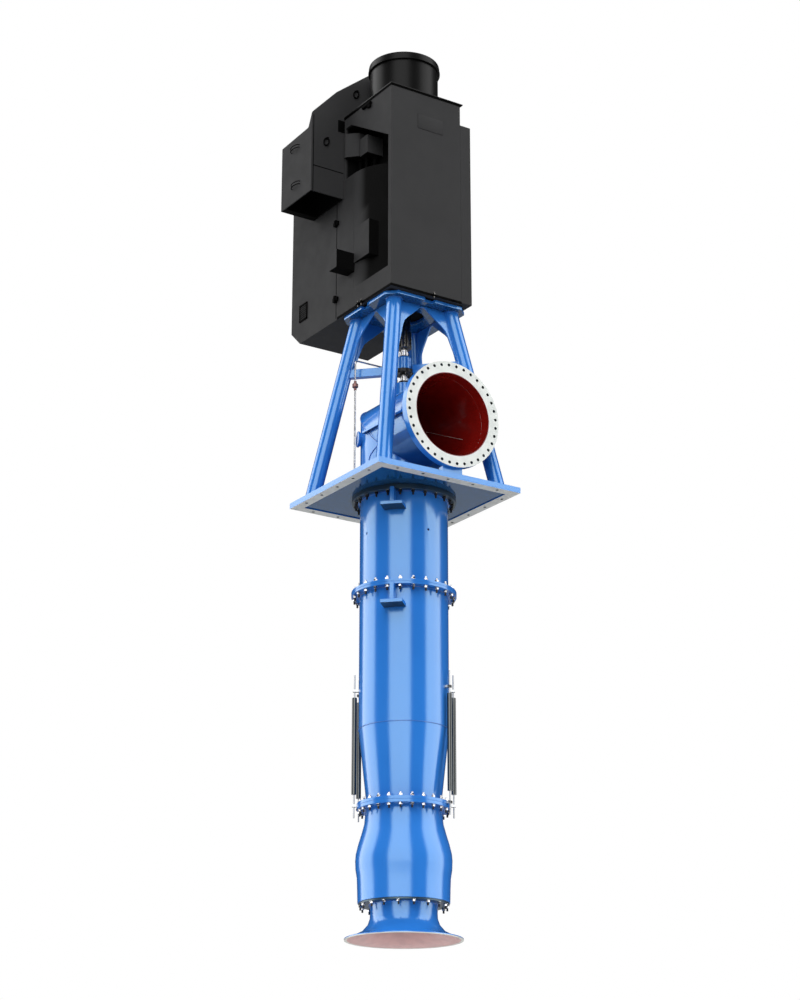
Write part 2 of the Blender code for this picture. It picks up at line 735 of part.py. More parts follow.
def make_junction_boxes():
    """Three boxes in the recess: two on its flat back and one on the stator frame."""
    wall = RECESS_BACK - GAP
    outline = [(-0.66, 0.385), (-0.528, 0.253), (wall, 0.253), (wall, 0.42), (-0.66, 0.42)]
    add_object("junction_box_upper", prism_mesh(outline, 4.71, 5.055, "Z"), CASING)
    add_object("junction_box_middle", box_mesh((-0.575, -0.015, 4.64), (wall, 0.165, 4.90)), CASING)
    lower = add_object("junction_box_lower", box_mesh((-0.64, -0.17, 3.13), (-0.40, 0.19, 3.62)), CASING)
    boolean(lower, stator_form("cut_box_seat", STATOR_R + GAP), "DIFFERENCE")


def make_motor_fittings():
    low = (MOTOR_RIGHT + GAP, MOTOR_FRONT, 2.522)
    add_object("side_panel", box_mesh(low, (PANEL_RIGHT, PANEL_REAR, PANEL_TOP_Z)), CASING)
    roof_low = (MOTOR_LEFT - 0.014, MOTOR_FRONT - 0.015, MOTOR_TOP_Z + GAP)
    roof_high = (MOTOR_RIGHT + 0.037, HOOD_FRONT - GAP, MOTOR_TOP_Z + ROOF_T)
    add_object("motor_roof", box_mesh(roof_low, roof_high), CASING)
    add_object("terminal_box", box_mesh((-0.895, 0.19, 3.02), (MOTOR_LEFT - GAP, 0.37, 3.27)), CASING)


def make_bearing_housing():
    low = MOTOR_TOP_Z + ROOF_T + GAP
    housing = turned_mesh([(HOUSING_R, HOUSING_TOP_Z), (HOUSING_R, low)], 48, hollow=False)
    add_object("bearing_housing", housing, CASING)
    cap = [(0.36, CAP_TOP_Z), (0.46, CAP_TOP_Z - 0.008), (CAP_R, CAP_TOP_Z - 0.03)]
    cap += [(CAP_R, HOUSING_TOP_Z + GAP)]
    add_object("housing_cap", turned_mesh(cap, 48, hollow=False), CASING)


def hood_mesh(side):
    """One air hood: an outline in x and z at three depths, skinned into a solid."""
    low, top = HOOD_LOW_Z, MOTOR_TOP_Z + GAP
    seat = MOTOR_LEFT - GAP if side < 0 else MOTOR_RIGHT + GAP
    outer = HOOD_MIDDLE_X + side * HOOD_HALF
    knee = HOOD_MIDDLE_X + side * HOOD_KNEE_HALF
    inner = HOOD_MIDDLE_X + side * (DUCT_HALF + GAP)
    sections = (
        (HOOD_FRONT, 5.28, 5.685, 6.075),
        (HOOD_FRONT + 0.09, 5.085, 5.66, 6.05),
        (HOOD_REAR, 5.065, 5.485, 5.88),
    )
    bm = bmesh.new()
    rings = []
    for y, outer_z, knee_z, crown_z in sections:
        outline = [(seat, low), (outer, low), (outer, outer_z)]
        outline += [(knee, knee_z), (inner, crown_z), (inner, top)]
        rings.append([bm.verts.new((x, y, z)) for x, z in outline + [(seat, top)]])
    skin_rings(bm, rings, closed_loop=False)
    return bm


def make_hoods():
    for name, side, seat in (("left", -1, MOTOR_LEFT), ("right", 1, MOTOR_RIGHT)):
        hood = add_object("air_hood_" + name, hood_mesh(side), CASING)
        outer = HOOD_MIDDLE_X + side * HOOD_HALF
        x = sorted((seat + side * HOOD_WALL, outer - side * HOOD_WALL))
        y = (HOOD_FRONT + HOOD_WALL, HOOD_REAR - 0.11)
        pocket = box_mesh((x[0], y[0], HOOD_LOW_Z - 0.1), (x[1], y[1], HOOD_LOW_Z + 0.8))
        boolean(hood, add_object("cut_hood_" + name, pocket, None, helper=True), "DIFFERENCE")
    top = MOTOR_TOP_Z + GAP
    outline = [(HOOD_FRONT, top), (HOOD_FRONT, 6.075), (HOOD_FRONT + 0.09, 6.05)]
    outline += [(HOOD_REAR, 5.88), (HOOD_REAR, top)]
    duct = prism_mesh(outline, HOOD_MIDDLE_X - DUCT_HALF, HOOD_MIDDLE_X + DUCT_HALF, "X")
    add_object("top_duct", duct, CASING)


clear_scene()
AXIS = make_axis()
PAINT = make_material("blue paint", BLUE, 0.25)
CASING = make_material("charcoal casing", CHARCOAL, 0.6)
BARE = make_material("machined seat", OFF_WHITE, 0.5)
ZINC = make_material("zinc", STEEL, 0.45, 1.0)
SHAFT_STEEL = make_material("shaft steel", STEEL, 0.3, 1.0)
DARK = make_material("dark steel", DARK_STEEL, 0.5, 0.5)
BRONZE = make_material("bronze", BRASS, 0.4, 1.0)
COLUMN_BODY = cylinder_cutter("cut_lug_seats", PIPE_R + GAP, -2.0, 0.2)

make_base()
make_elbow()
make_discharge_flange()
make_discharge_support()
make_access_cover()
make_upper_column()
make_lower_column()
make_bowl()
make_diffuser_vanes()
make_suction_bell()
make_lifting_lugs()
for index, angle in enumerate((33, 57, -147, -123)):
    make_anode("anode_rod_%d" % (index + 1), angle)
make_rotor()
make_seal()
make_seal_water()
make_stand_plate()
leg_cutters = make_legs()
make_arches(leg_cutters)
make_beams(leg_cutters)
make_motor_body()
make_junction_boxes()
make_motor_fittings()
make_bearing_housing()
make_hoods()
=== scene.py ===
"""Looks of the vertical circulating water pump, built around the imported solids.

Metres, +Z up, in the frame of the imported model. Pieces are modelled about the
shaft axis, as the solids are, and moved onto it when they become objects.
"""

import json
import math

import bmesh
import bpy
from mathutils import Matrix, Vector

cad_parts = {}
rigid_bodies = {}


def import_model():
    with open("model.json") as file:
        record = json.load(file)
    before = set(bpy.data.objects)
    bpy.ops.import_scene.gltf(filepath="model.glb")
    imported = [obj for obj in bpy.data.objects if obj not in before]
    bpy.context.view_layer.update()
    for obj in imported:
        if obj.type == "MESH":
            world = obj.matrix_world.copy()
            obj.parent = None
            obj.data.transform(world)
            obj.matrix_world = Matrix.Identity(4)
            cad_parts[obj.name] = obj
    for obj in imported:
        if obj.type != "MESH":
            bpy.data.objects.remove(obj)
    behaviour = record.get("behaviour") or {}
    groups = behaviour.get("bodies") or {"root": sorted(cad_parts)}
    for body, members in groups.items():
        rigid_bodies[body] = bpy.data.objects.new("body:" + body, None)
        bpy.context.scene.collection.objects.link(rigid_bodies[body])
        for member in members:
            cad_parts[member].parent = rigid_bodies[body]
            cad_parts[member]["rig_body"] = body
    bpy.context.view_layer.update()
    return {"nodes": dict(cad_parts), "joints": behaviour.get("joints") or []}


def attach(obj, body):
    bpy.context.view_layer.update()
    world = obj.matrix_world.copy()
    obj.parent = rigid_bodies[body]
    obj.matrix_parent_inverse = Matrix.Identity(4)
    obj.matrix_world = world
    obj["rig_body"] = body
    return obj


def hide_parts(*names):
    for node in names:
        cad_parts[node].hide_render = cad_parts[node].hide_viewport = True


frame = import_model()
SCENE = bpy.context.scene
AXIS_Y = frame["joints"][0]["pos_m"][1]

# Camera, fitted to the flange holes and the base plate, about the shaft axis
CAMERA_PLACE = (-14.2775, -21.8125, -9.0115)
CAMERA_AZIMUTH = 33.10
CAMERA_PITCH = 19.10
CAMERA_ROLL = 0.05
CAMERA_LENS = 80.61
FLOOR_Z = -9.5
FLOOR_R = 12.0

# Light: each softbox is (start, end, strength), its angles in degrees from the camera's side
SOFTBOXES = ((-131, -80, 3.2), (-38, 17, 3.3), (58, 108, 3.2))
SOFTBOX_EDGE = 5
SURROUND_LIGHT = 0.03
GROUND_FRONT = 0.22
GROUND_BEHIND = 0.42
CEILING_LIGHT = 0.9

UP = (0, 0, 1)
TO_REAR = (0, 1, 0)

# Sizes that repeat those of the solids
PIPE_R = 0.54
BORE_R = 0.525
DISCHARGE_Z = 0.80
PLATE_TOP = 0.072
COLUMN_JOINT_Z = -1.217
COLUMN_FLANGE_T = 0.031
TAPER_TOP_Z = -2.89
BOWL_JOINT_Z = -3.813
BOWL_FLANGE_T = 0.039
HEAD_FLANGE_Z = -0.05
BELL_FLANGE_Z = -4.962
BELL_INSIDE_Z = -5.04
BELL_RIM_Z = -5.365
ROD_SLEEVE = (-3.662, -2.488)
FLANGE_HOLE_BAND = (0.602, 0.655)
ANCHOR_HOLE_BAND = (0.925, 1.01)
LEG_R = 0.097
LEG_FOOT_HALF = 0.829
LEG_SLOPE = 0.1708
STAND_UNDER_Z = 2.46
STAND_TOP_Z = 2.505
MOTOR_TOP_Z = 5.3175
MOTOR_LEFT = -0.625
MOTOR_RIGHT = 0.43
MOTOR_FRONT = -0.663
RECESS_FRONT = -0.5925
RECESS_REAR = 0.4315
HOOD_FRONT = 0.467
HOOD_LEFT = -1.124
HOOD_RIGHT = 1.016

# Each nut of a row is turned this much more than the one before it
NUT_TWIST = 0.37
# Thin trim stands this far off the casing's walls
TRIM_OUT = 0.006

# Colours as linear red, green, blue
BLUE = (0.022, 0.165, 0.560)
BLUE_DEEP = (0.017, 0.135, 0.480)
BLUE_GLOSS = (0.62, 0.92, 1.00)
COAT_ROUGHNESS = 0.06
CHARCOAL = (0.037, 0.037, 0.038)
BLACK = (0.0015, 0.0015, 0.0015)
# Near black, used as painted shade on the charcoal casing
SHADE_GREY = (0.0035, 0.0035, 0.0035)
OFF_WHITE = (0.60, 0.585, 0.55)
# Dark navy, used as painted shade under the plates
SHADE_NAVY = (0.006, 0.055, 0.165)
# Near-black blue, used as painted shade under lugs, flanges and the elbow
SHADE_BLUE = (0.002, 0.012, 0.035)
LINING = (0.22, 0.006, 0.004)
PRIMER = (0.52, 0.27, 0.26)
STEEL = (0.62, 0.62, 0.63)
ZINC = (0.36, 0.37, 0.38)
ROD_GREY = (0.085, 0.090, 0.090)
DARK_STEEL = (0.035, 0.035, 0.037)
COUPLING_GREY = (0.11, 0.105, 0.10)
BRASS = (0.20, 0.11, 0.10)
# Near black, used as painted shade on the walls of holes
HOLE_SHADE_GREY = (0.012, 0.012, 0.013)
CAP_BLACK = (0.004, 0.004, 0.004)
PALE_WELD = (0.55, 0.38, 0.36)
FLOOR_GREY = (0.80, 0.80, 0.79)
FLOOR_SHADE = (0.77, 0.77, 0.765)


# Studio


def look_matrix(place, azimuth, pitch, roll):
    """Camera matrix from a place, a compass azimuth from +Y, a pitch and a roll, in degrees."""
    a, p, r = (math.radians(v) for v in (azimuth, pitch, roll))
    forward = Vector((math.sin(a) * math.cos(p), math.cos(a) * math.cos(p), math.sin(p)))
    right = Vector((math.cos(a), -math.sin(a), 0))
    up = right.cross(forward)
    right, up = math.cos(r) * right + math.sin(r) * up, math.cos(r) * up - math.sin(r) * right
    turn = Matrix((right, up, -forward)).transposed()
    return Matrix.Translation(place) @ turn.to_4x4()


def make_camera():
    """The photo's camera, as fitted."""
    camera = bpy.data.objects.new("camera", bpy.data.cameras.new("camera"))
    SCENE.collection.objects.link(camera)
    place = Vector(CAMERA_PLACE) + Vector((0, AXIS_Y, 0))
    camera.matrix_world = look_matrix(place, CAMERA_AZIMUTH, CAMERA_PITCH, CAMERA_ROLL)
    camera.data.lens = CAMERA_LENS
    camera.data.clip_end = 200
    SCENE.camera = camera
    SCENE.view_settings.view_transform = "Standard"


class Nodes:
    """Short calls that add nodes to one node tree. Values may be numbers, tuples or sockets."""

    def __init__(self, tree):
        self.tree = tree

    def put(self, socket, value):
        if isinstance(value, bpy.types.NodeSocket):
            self.tree.links.new(value, socket)
        else:
            socket.default_value = value

    def add(self, kind, inputs, **settings):
        node = self.tree.nodes.new(kind)
        for key, value in settings.items():
            setattr(node, key, value)
        for key, value in inputs.items():
            self.put(node.inputs[key], value)
        return node

    def math(self, operation, a, b=0.0):
        return self.add("ShaderNodeMath", {0: a, 1: b}, operation=operation).outputs[0]

    def dot(self, vector, direction):
        inputs = {0: vector, 1: direction}
        return self.add("ShaderNodeVectorMath", inputs, operation="DOT_PRODUCT").outputs["Value"]

    def step(self, value, start, end, low=0.0, high=1.0):
        """A smooth step from low to high while the value goes from start to end."""
        inputs = {"Value": value, 1: start, 2: end, 3: low, 4: high}
        node = self.add("ShaderNodeMapRange", inputs, interpolation_type="SMOOTHSTEP")
        return node.outputs["Result"]

    def fall(self, value, start, end):
        """A smooth step from 1 down to 0 while the value goes from start to end."""
        return self.step(value, start, end, 1.0, 0.0)

    def both(self, a, b):
        return self.math("MULTIPLY", a, b)

    def either(self, a, b):
        return self.math("MAXIMUM", a, b)

    def band(self, value, low, high, soft):
        """1 where the value lies between low and high, with soft edges inside them."""
        return self.both(self.step(value, low, low + soft), self.fall(value, high - soft, high))

    def mix(self, factor, a, b):
        """A colour that goes from a to b as the factor goes from 0 to 1."""
        node = self.add("ShaderNodeMix", {0: factor}, data_type="RGBA")
        for socket, value in ((node.inputs[6], a), (node.inputs[7], b)):
            self.put(socket, (*value, 1.0) if isinstance(value, tuple) else value)
        return node.outputs[2]


def softbox(nodes, turn, start, end, strength):
    """An upright band of light between two angles about the pump, in degrees."""
    soft = math.radians(SOFTBOX_EDGE)
    start, end = math.radians(start), math.radians(end)
    rise = nodes.step(turn, start - soft, start + soft)
    fall = nodes.step(turn, end - soft, end + soft, strength, 0.0)
    return nodes.both(rise, fall)


def make_world():
    """Studio light as broad upright softboxes, wrapped round the pump on a dark surround."""
    world = bpy.data.worlds.new("studio")
    SCENE.world = world
    world.use_nodes = True
    tree = world.node_tree
    nodes = Nodes(tree)
    direction = nodes.add("ShaderNodeTexCoord", {}).outputs["Generated"]
    a = math.radians(CAMERA_AZIMUTH)
    front = nodes.dot(direction, (-math.sin(a), -math.cos(a), 0))
    side = nodes.dot(direction, (math.cos(a), -math.sin(a), 0))
    height = nodes.dot(direction, UP)
    turn = nodes.math("ARCTAN2", side, front)
    light = SURROUND_LIGHT
    for start, end, strength in SOFTBOXES:
        light = nodes.math("ADD", light, softbox(nodes, turn, start, end, strength))
    light = nodes.both(light, nodes.step(height, -0.10, 0.0))
    light = nodes.both(light, nodes.step(height, 0.80, 0.92, 1.0, 0.25))
    around = nodes.math("ABSOLUTE", turn)
    ground = nodes.step(around, math.radians(100), math.radians(125), GROUND_FRONT, GROUND_BEHIND)
    below = nodes.both(nodes.fall(height, -0.12, -0.02), ground)
    above = nodes.step(height, 0.80, 0.95, 0.0, CEILING_LIGHT)
    light = nodes.math("ADD", nodes.math("ADD", light, below), above)
    background = tree.nodes["Background"]
    backdrop = nodes.add("ShaderNodeBackground", {"Color": (1, 1, 1, 1), "Strength": 1.0})
    nodes.put(background.inputs["Color"], (1, 1, 1, 1))
    nodes.put(background.inputs["Strength"], light)
    seen = nodes.add("ShaderNodeLightPath", {}).outputs["Is Camera Ray"]
    inputs = {0: seen, 1: background.outputs[0], 2: backdrop.outputs[0]}
    mixed = nodes.add("ShaderNodeMixShader", inputs)
    tree.links.new(mixed.outputs[0], tree.nodes["World Output"].inputs["Surface"])


def make_floor():
    """A pale round floor under the bell."""
    bm = bmesh.new()
    bmesh.ops.create_circle(bm, cap_ends=True, radius=FLOOR_R, segments=96)
    mesh = bpy.data.meshes.new("studio_floor")
    bm.to_mesh(mesh)
    bm.free()
    floor = bpy.data.objects.new("studio_floor", mesh)
    SCENE.collection.objects.link(floor)
    floor.location = (0, AXIS_Y, FLOOR_Z)
    paint = Paint("studio floor", FLOOR_GREY, 0.7)
    tone = paint.nodes.step(paint.noise(0.5, 2), 0.3, 0.7)
    paint.colour(paint.nodes.mix(tone, FLOOR_GREY, FLOOR_SHADE))
    mesh.materials.append(paint.material)


# Materials


class Paint:
    """One Principled material whose detail comes from procedural nodes in object space."""

    def __init__(self, name, colour, roughness, slot=None, metallic=0.0, specular=0.5, coat=0.0,
                 tint=(1, 1, 1)):
        self.material = bpy.data.materials.new(name)
        self.material.use_nodes = True
        self.slot = slot
        self.nodes = Nodes(self.material.node_tree)
        self.shader = self.material.node_tree.nodes["Principled BSDF"]
        self.shader.inputs["Metallic"].default_value = metallic
        self.shader.inputs["Specular IOR Level"].default_value = specular
        self.shader.inputs["Specular Tint"].default_value = (*tint, 1.0)
        self.shader.inputs["Coat Weight"].default_value = coat
        self.shader.inputs["Coat Roughness"].default_value = COAT_ROUGHNESS
        self.shader.inputs["Roughness"].default_value = roughness
        self.shader.inputs["Base Color"].default_value = (*colour, 1.0)
        source = self.nodes.add("ShaderNodeTexCoord", {})
        self.place = source.outputs["Object"]
        self.normal = source.outputs["Normal"]

    def noise(self, scale, detail=3.0, stretch=(1, 1, 1)):
        """Soft random mottling from 0 to 1."""
        mapped = self.nodes.add("ShaderNodeMapping", {"Vector": self.place, "Scale": stretch}).outputs[0]
        inputs = {"Vector": mapped, "Scale": scale, "Detail": detail}
        return self.nodes.add("ShaderNodeTexNoise", inputs).outputs["Fac"]

    def colour(self, value):
        self.nodes.put(self.shader.inputs["Base Color"], value)

    def roughness(self, value):
        self.nodes.put(self.shader.inputs["Roughness"], value)

    def relief(self, height, distance, strength=1.0):
        inputs = {"Height": height, "Distance": distance, "Strength": strength}
        bump = self.nodes.add("ShaderNodeBump", inputs)
        self.nodes.put(self.shader.inputs["Normal"], bump.outputs[0])

    def axes(self):
        """The place as x, y from the shaft axis and z."""
        parts = self.nodes.add("ShaderNodeSeparateXYZ", {0: self.place}).outputs
        return parts[0], self.nodes.math("SUBTRACT", parts[1], AXIS_Y), parts[2]

    def facing(self, direction):
        """How far the surface faces a direction, from -1 to 1."""
        return self.nodes.dot(self.normal, direction)

    def radius(self, a, b):
        """Distance from the origin of two coordinates."""
        squares = self.nodes.math("MULTIPLY", a, a), self.nodes.math("MULTIPLY", b, b)
        return self.nodes.math("SQRT", self.nodes.math("ADD", *squares))

    def inward(self):
        """1 where the surface faces the shaft axis, 0 where it faces away."""
        x, y, _ = self.axes()
        radius = self.radius(x, y)
        flat = self.nodes.add("ShaderNodeCombineXYZ", {0: x, 1: y, 2: 0.0}).outputs[0]
        out = self.nodes.math("DIVIDE", self.nodes.dot(self.normal, flat), radius)
        return self.nodes.fall(out, -0.25, -0.15)

    def mouth(self):
        """1 inside the bell, where the surface faces the shaft axis or down."""
        _, _, z = self.axes()
        down = self.nodes.fall(self.facing(UP), -0.7, -0.5)
        inside = self.nodes.either(self.inward(), down)
        return self.nodes.both(inside, self.nodes.fall(z, BELL_INSIDE_Z - 0.01, BELL_INSIDE_Z))


# Zones: each is a mask that is 1 on one region of a solid


def recess_shade_zone(paint):
    """The recess in the motor's left side, painted shade: dark where it is deep, and all of its upper half.
    """
    nodes = paint.nodes
    x, y, z = paint.axes()
    deep = nodes.step(x, MOTOR_LEFT + 0.010, MOTOR_LEFT + 0.070)
    upper = nodes.both(nodes.step(z, 3.72, 3.92), nodes.step(x, MOTOR_LEFT, MOTOR_LEFT + 0.045))
    dark = nodes.either(deep, upper)
    return nodes.both(dark, nodes.band(y, RECESS_FRONT, RECESS_REAR, 0.001))


def hood_shade_zone(paint):
    """Painted shade on the inner sides of the two air hoods: inside their outer walls and not facing up."""
    nodes = paint.nodes
    x, y, _ = paint.axes()
    middle, half = (HOOD_LEFT + HOOD_RIGHT) / 2, (HOOD_RIGHT - HOOD_LEFT) / 2
    reach = nodes.math("ABSOLUTE", nodes.math("SUBTRACT", x, middle))
    inside = nodes.fall(reach, half - 0.012, half - 0.010)
    front = nodes.step(y, HOOD_FRONT + 0.010, HOOD_FRONT + 0.012)
    under = nodes.fall(paint.facing(UP), 0.2, 0.3)
    return nodes.both(inside, nodes.both(front, under))


def underside_zone(paint):
    """Faces that look down."""
    return paint.nodes.fall(paint.facing(UP), -0.6, -0.5)


def box_shade_zone(paint):
    """Painted shade on the undersides and near sides of the lower boxes."""
    nodes = paint.nodes
    near = nodes.fall(paint.facing(TO_REAR), -0.6, -0.5)
    return nodes.either(underside_zone(paint), near)


def anchor_hole_zone(paint):
    """Walls of the anchor holes, painted shade: upright faces inside the rim."""
    x, y, _ = paint.axes()
    nodes = paint.nodes
    reach = nodes.either(nodes.math("ABSOLUTE", x), nodes.math("ABSOLUTE", y))
    upright = nodes.fall(nodes.math("ABSOLUTE", paint.facing(UP)), 0.3, 0.4)
    return nodes.both(nodes.band(reach, *ANCHOR_HOLE_BAND, 0.005), upright)


def head_flange_zone(paint):
    """The column's top flange, in the shade of the base plate."""
    x, y, z = paint.axes()
    nodes = paint.nodes
    high = nodes.step(z, HEAD_FLANGE_Z - 0.010, HEAD_FLANGE_Z - 0.004)
    return nodes.both(high, nodes.step(paint.radius(x, y), 0.56, 0.57))


def bell_flange_zone(paint):
    """The bell's top flange, painted shade: a dark band under the bowl."""
    x, y, z = paint.axes()
    nodes = paint.nodes
    high = nodes.step(z, BELL_FLANGE_Z - 0.008, BELL_FLANGE_Z - 0.004)
    return nodes.both(high, nodes.step(paint.radius(x, y), 0.41, 0.42))


def bell_rim_zone(paint):
    """The pale machined rim of the bell's mouth."""
    x, y, z = paint.axes()
    nodes = paint.nodes
    low = nodes.fall(z, BELL_RIM_Z + 0.006, BELL_RIM_Z + 0.010)
    return nodes.both(low, nodes.step(paint.radius(x, y), 0.655, 0.665))


def flange_face_zone(paint):
    """The discharge flange's machined face: it faces -Y."""
    return paint.nodes.fall(paint.facing(TO_REAR), -0.8, -0.7)


def flange_radius(paint):
    """Distance from the axis of the discharge."""
    x, _, z = paint.axes()
    return paint.radius(x, paint.nodes.math("SUBTRACT", z, DISCHARGE_Z))


def flange_bore_zone(paint):
    """The wall of the flange's bore."""
    return paint.nodes.fall(flange_radius(paint), BORE_R + 0.006, BORE_R + 0.008)


def flange_hole_zone(paint):
    """Walls of the bolt holes, painted shade: they don't face along Y, between the bore and the rim."""
    nodes = paint.nodes
    inside = nodes.band(flange_radius(paint), *FLANGE_HOLE_BAND, 0.002)
    along = nodes.math("ABSOLUTE", paint.facing(TO_REAR))
    return nodes.both(inside, nodes.fall(along, 0.3, 0.4))


def elbow_belly_zone(paint):
    """The shaded underside of the elbow's mouth."""
    return paint.nodes.step(paint.facing(UP), -0.85, -0.10, 0.75, 0.0)


def elbow_bore_zone(paint):
    """Inside of the mitred elbow: near enough to the axis of the pipe that the point lies in."""
    nodes = paint.nodes
    x, y, z = paint.axes()
    lift = nodes.math("SUBTRACT", z, DISCHARGE_Z)
    across = paint.radius(x, lift)
    upright = paint.radius(x, y)
    in_mouth = nodes.math("GREATER_THAN", lift, y)
    spread = nodes.math("SUBTRACT", across, upright)
    radius = nodes.math("ADD", upright, nodes.both(in_mouth, spread))
    return nodes.fall(radius, PIPE_R - 0.008, PIPE_R - 0.006)


def rod_zone(paint):
    """The thick middle of a rod on the column, between its bright stems."""
    _, _, z = paint.axes()
    return paint.nodes.band(z, *ROD_SLEEVE, 0.007)


# Paints


def enamel(name, zones=()):
    """Glossy blue enamel with a faint orange peel. A zone is (mask maker, colour, roughness)."""
    paint = Paint(name, BLUE, 0.20, specular=1.0, coat=0.12, slot="blue_paint", tint=BLUE_GLOSS)
    nodes = paint.nodes
    tone = nodes.step(paint.noise(1.1), 0.42, 0.72)
    roughness = nodes.step(paint.noise(5.0, 4, (1, 1, 0.12)), 0.45, 0.75, 0.15, 0.19)
    colour = nodes.mix(nodes.math("MULTIPLY", tone, 0.35), BLUE, BLUE_DEEP)
    for mask_maker, zone_colour, zone_roughness in zones:
        mask = mask_maker(paint)
        grain = nodes.step(paint.noise(9.0, 5), 0.35, 0.70)
        shade = tuple(0.86 * v for v in zone_colour)
        colour = nodes.mix(mask, colour, nodes.mix(grain, zone_colour, shade))
        spread = nodes.math("SUBTRACT", zone_roughness, roughness)
        roughness = nodes.math("ADD", roughness, nodes.both(mask, spread))
    paint.colour(colour)
    paint.roughness(roughness)
    paint.relief(paint.noise(70.0, 2), 0.0006, 0.5)
    return paint


def casing_paint(name, colour, zone=None):
    """Satin charcoal powder coat, with painted shade: nearly black in a zone that lies in shade."""
    paint = Paint(name, colour, 0.60, specular=0.03, slot="charcoal_casing")
    nodes = paint.nodes
    tone = nodes.step(paint.noise(1.6, 4), 0.35, 0.75)
    shade = tuple(0.93 * v for v in colour)
    mixed = nodes.mix(tone, colour, shade)
    if zone:
        # Painted shade: the zone's surfaces go nearly black
        mixed = nodes.mix(zone(paint), mixed, SHADE_GREY)
    paint.colour(mixed)
    paint.roughness(nodes.step(paint.noise(6.0, 4), 0.3, 0.7, 0.55, 0.65))
    paint.relief(paint.noise(320.0, 2), 0.0004, 0.35)
    return paint


def metal(name, colour, roughness, slot, grain=40.0):
    """Bare or plated metal with a fine grain and patchy gloss."""
    paint = Paint(name, colour, roughness, metallic=1.0, slot=slot)
    nodes = paint.nodes
    tone = nodes.step(paint.noise(grain, 4), 0.3, 0.75)
    paint.colour(nodes.mix(tone, colour, tuple(0.72 * v for v in colour)))
    paint.roughness(nodes.step(paint.noise(grain * 0.6, 3), 0.3, 0.7, roughness * 0.8, roughness * 1.3))
    paint.relief(paint.noise(grain * 6, 2), 0.0003, 0.4)
    return paint


def plain(name, colour, roughness, slot, coat=0.0, specular=0.5):
    """A dull or glossy coat with slight mottling."""
    paint = Paint(name, colour, roughness, specular=specular, coat=coat, slot=slot)
    nodes = paint.nodes
    tone = nodes.step(paint.noise(7.0, 5), 0.35, 0.70)
    paint.colour(nodes.mix(tone, colour, tuple(0.85 * v for v in colour)))
    paint.relief(paint.noise(140.0, 3), 0.0003, 0.4)
    return paint


def rod_metal():
    """Dark polished rod with bright stems and clips."""
    paint = metal("zinc", ZINC, 0.16, "zinc", 6.0)
    paint.colour(paint.nodes.mix(rod_zone(paint), ZINC, ROD_GREY))
    return paint


def make_paints():
    """Every material, by the key that the pieces use."""
    lining = (Paint.inward, LINING, 0.22)
    anchor_hole_shade = (anchor_hole_zone, HOLE_SHADE_GREY, 0.7)
    # Painted shade: down-facing faces of the base plate and stand plate are painted dark navy, and glossy
    underside_shade = (underside_zone, SHADE_NAVY, 0.10)
    elbow_zones = [(elbow_belly_zone, SHADE_BLUE, 0.20), (elbow_bore_zone, LINING, 0.16)]
    flange_zones = [
        (flange_face_zone, OFF_WHITE, 0.40),
        (flange_bore_zone, LINING, 0.16),
        (flange_hole_zone, HOLE_SHADE_GREY, 0.7),
    ]
    bell_zones = [
        (Paint.mouth, PRIMER, 0.40),
        (bell_rim_zone, OFF_WHITE, 0.45),
        (bell_flange_zone, SHADE_BLUE, 0.40),
    ]
    return {
        "enamel": enamel("blue enamel"),
        "elbow": enamel("elbow enamel", elbow_zones),
        "flange": enamel("flange enamel", flange_zones),
        "base": enamel("base enamel", [underside_shade, anchor_hole_shade]),
        "plate": enamel("stand plate enamel", [underside_shade]),
        # Painted shade: the lugs' undersides are painted near-black blue
        "lug": enamel("lug enamel", [(underside_zone, SHADE_BLUE, 0.40)]),
        "sole": enamel("sole enamel", [(underside_zone, OFF_WHITE, 0.45), anchor_hole_shade]),
        "shell": enamel("shell enamel", [lining, (head_flange_zone, SHADE_BLUE, 0.35)]),
        "bell": enamel("bell enamel", bell_zones),
        "casing": casing_paint("charcoal casing", CHARCOAL),
        # Painted shade: the casing goes nearly black in the recess, inside the hoods and under the boxes
        "motor": casing_paint("charcoal motor", CHARCOAL, recess_shade_zone),
        "hood": casing_paint("charcoal hood", CHARCOAL, hood_shade_zone),
        "box": casing_paint("charcoal box", CHARCOAL, underside_zone),
        "low_box": casing_paint("charcoal low box", CHARCOAL, box_shade_zone),
        "cap": plain("black gloss", CAP_BLACK, 0.33, "charcoal_casing", specular=0.10),
        "black": plain("black trim", BLACK, 0.70, "charcoal_casing", specular=0.02),
        "bolt": metal("bright bolts", STEEL, 0.22, "bright_bolt", 90.0),
        "dark": metal("dark steel", DARK_STEEL, 0.38, "dark_steel", 60.0),
        "coupling": metal("coupling steel", COUPLING_GREY, 0.22, "dark_steel", 12.0),
        "steel": metal("turned steel", STEEL, 0.25, "shaft_steel"),
        "zinc": rod_metal(),
        "brass": metal("brass", BRASS, 0.35, "bronze"),
        "weld": plain("painted weld", BLUE_DEEP, 0.35, "blue_paint", coat=0.6),
        "mark": plain("pale weld", PALE_WELD, 0.5, "red_lining"),
    }


# Mesh helpers


def turned(bm, profile, count=48, hollow=False, matrix=None):
    """Adds a body turned about Z from (radius, z) points. A hollow profile is a closed loop."""
    step = 2 * math.pi / count
    rings = []
    for radius, z in profile:
        ring = [Vector((radius * math.cos(step * i), radius * math.sin(step * i), z)) for i in range(count)]
        rings.append([bm.verts.new(matrix @ place if matrix else place) for place in ring])
    for i in range(len(rings) if hollow else len(rings) - 1):
        low, high = rings[i], rings[(i + 1) % len(rings)]
        for j in range(count):
            k = (j + 1) % count
            bm.faces.new((low[j], low[k], high[k], high[j]))
    if not hollow:
        bm.faces.new(rings[0])
        bm.faces.new(rings[-1])
    return bm


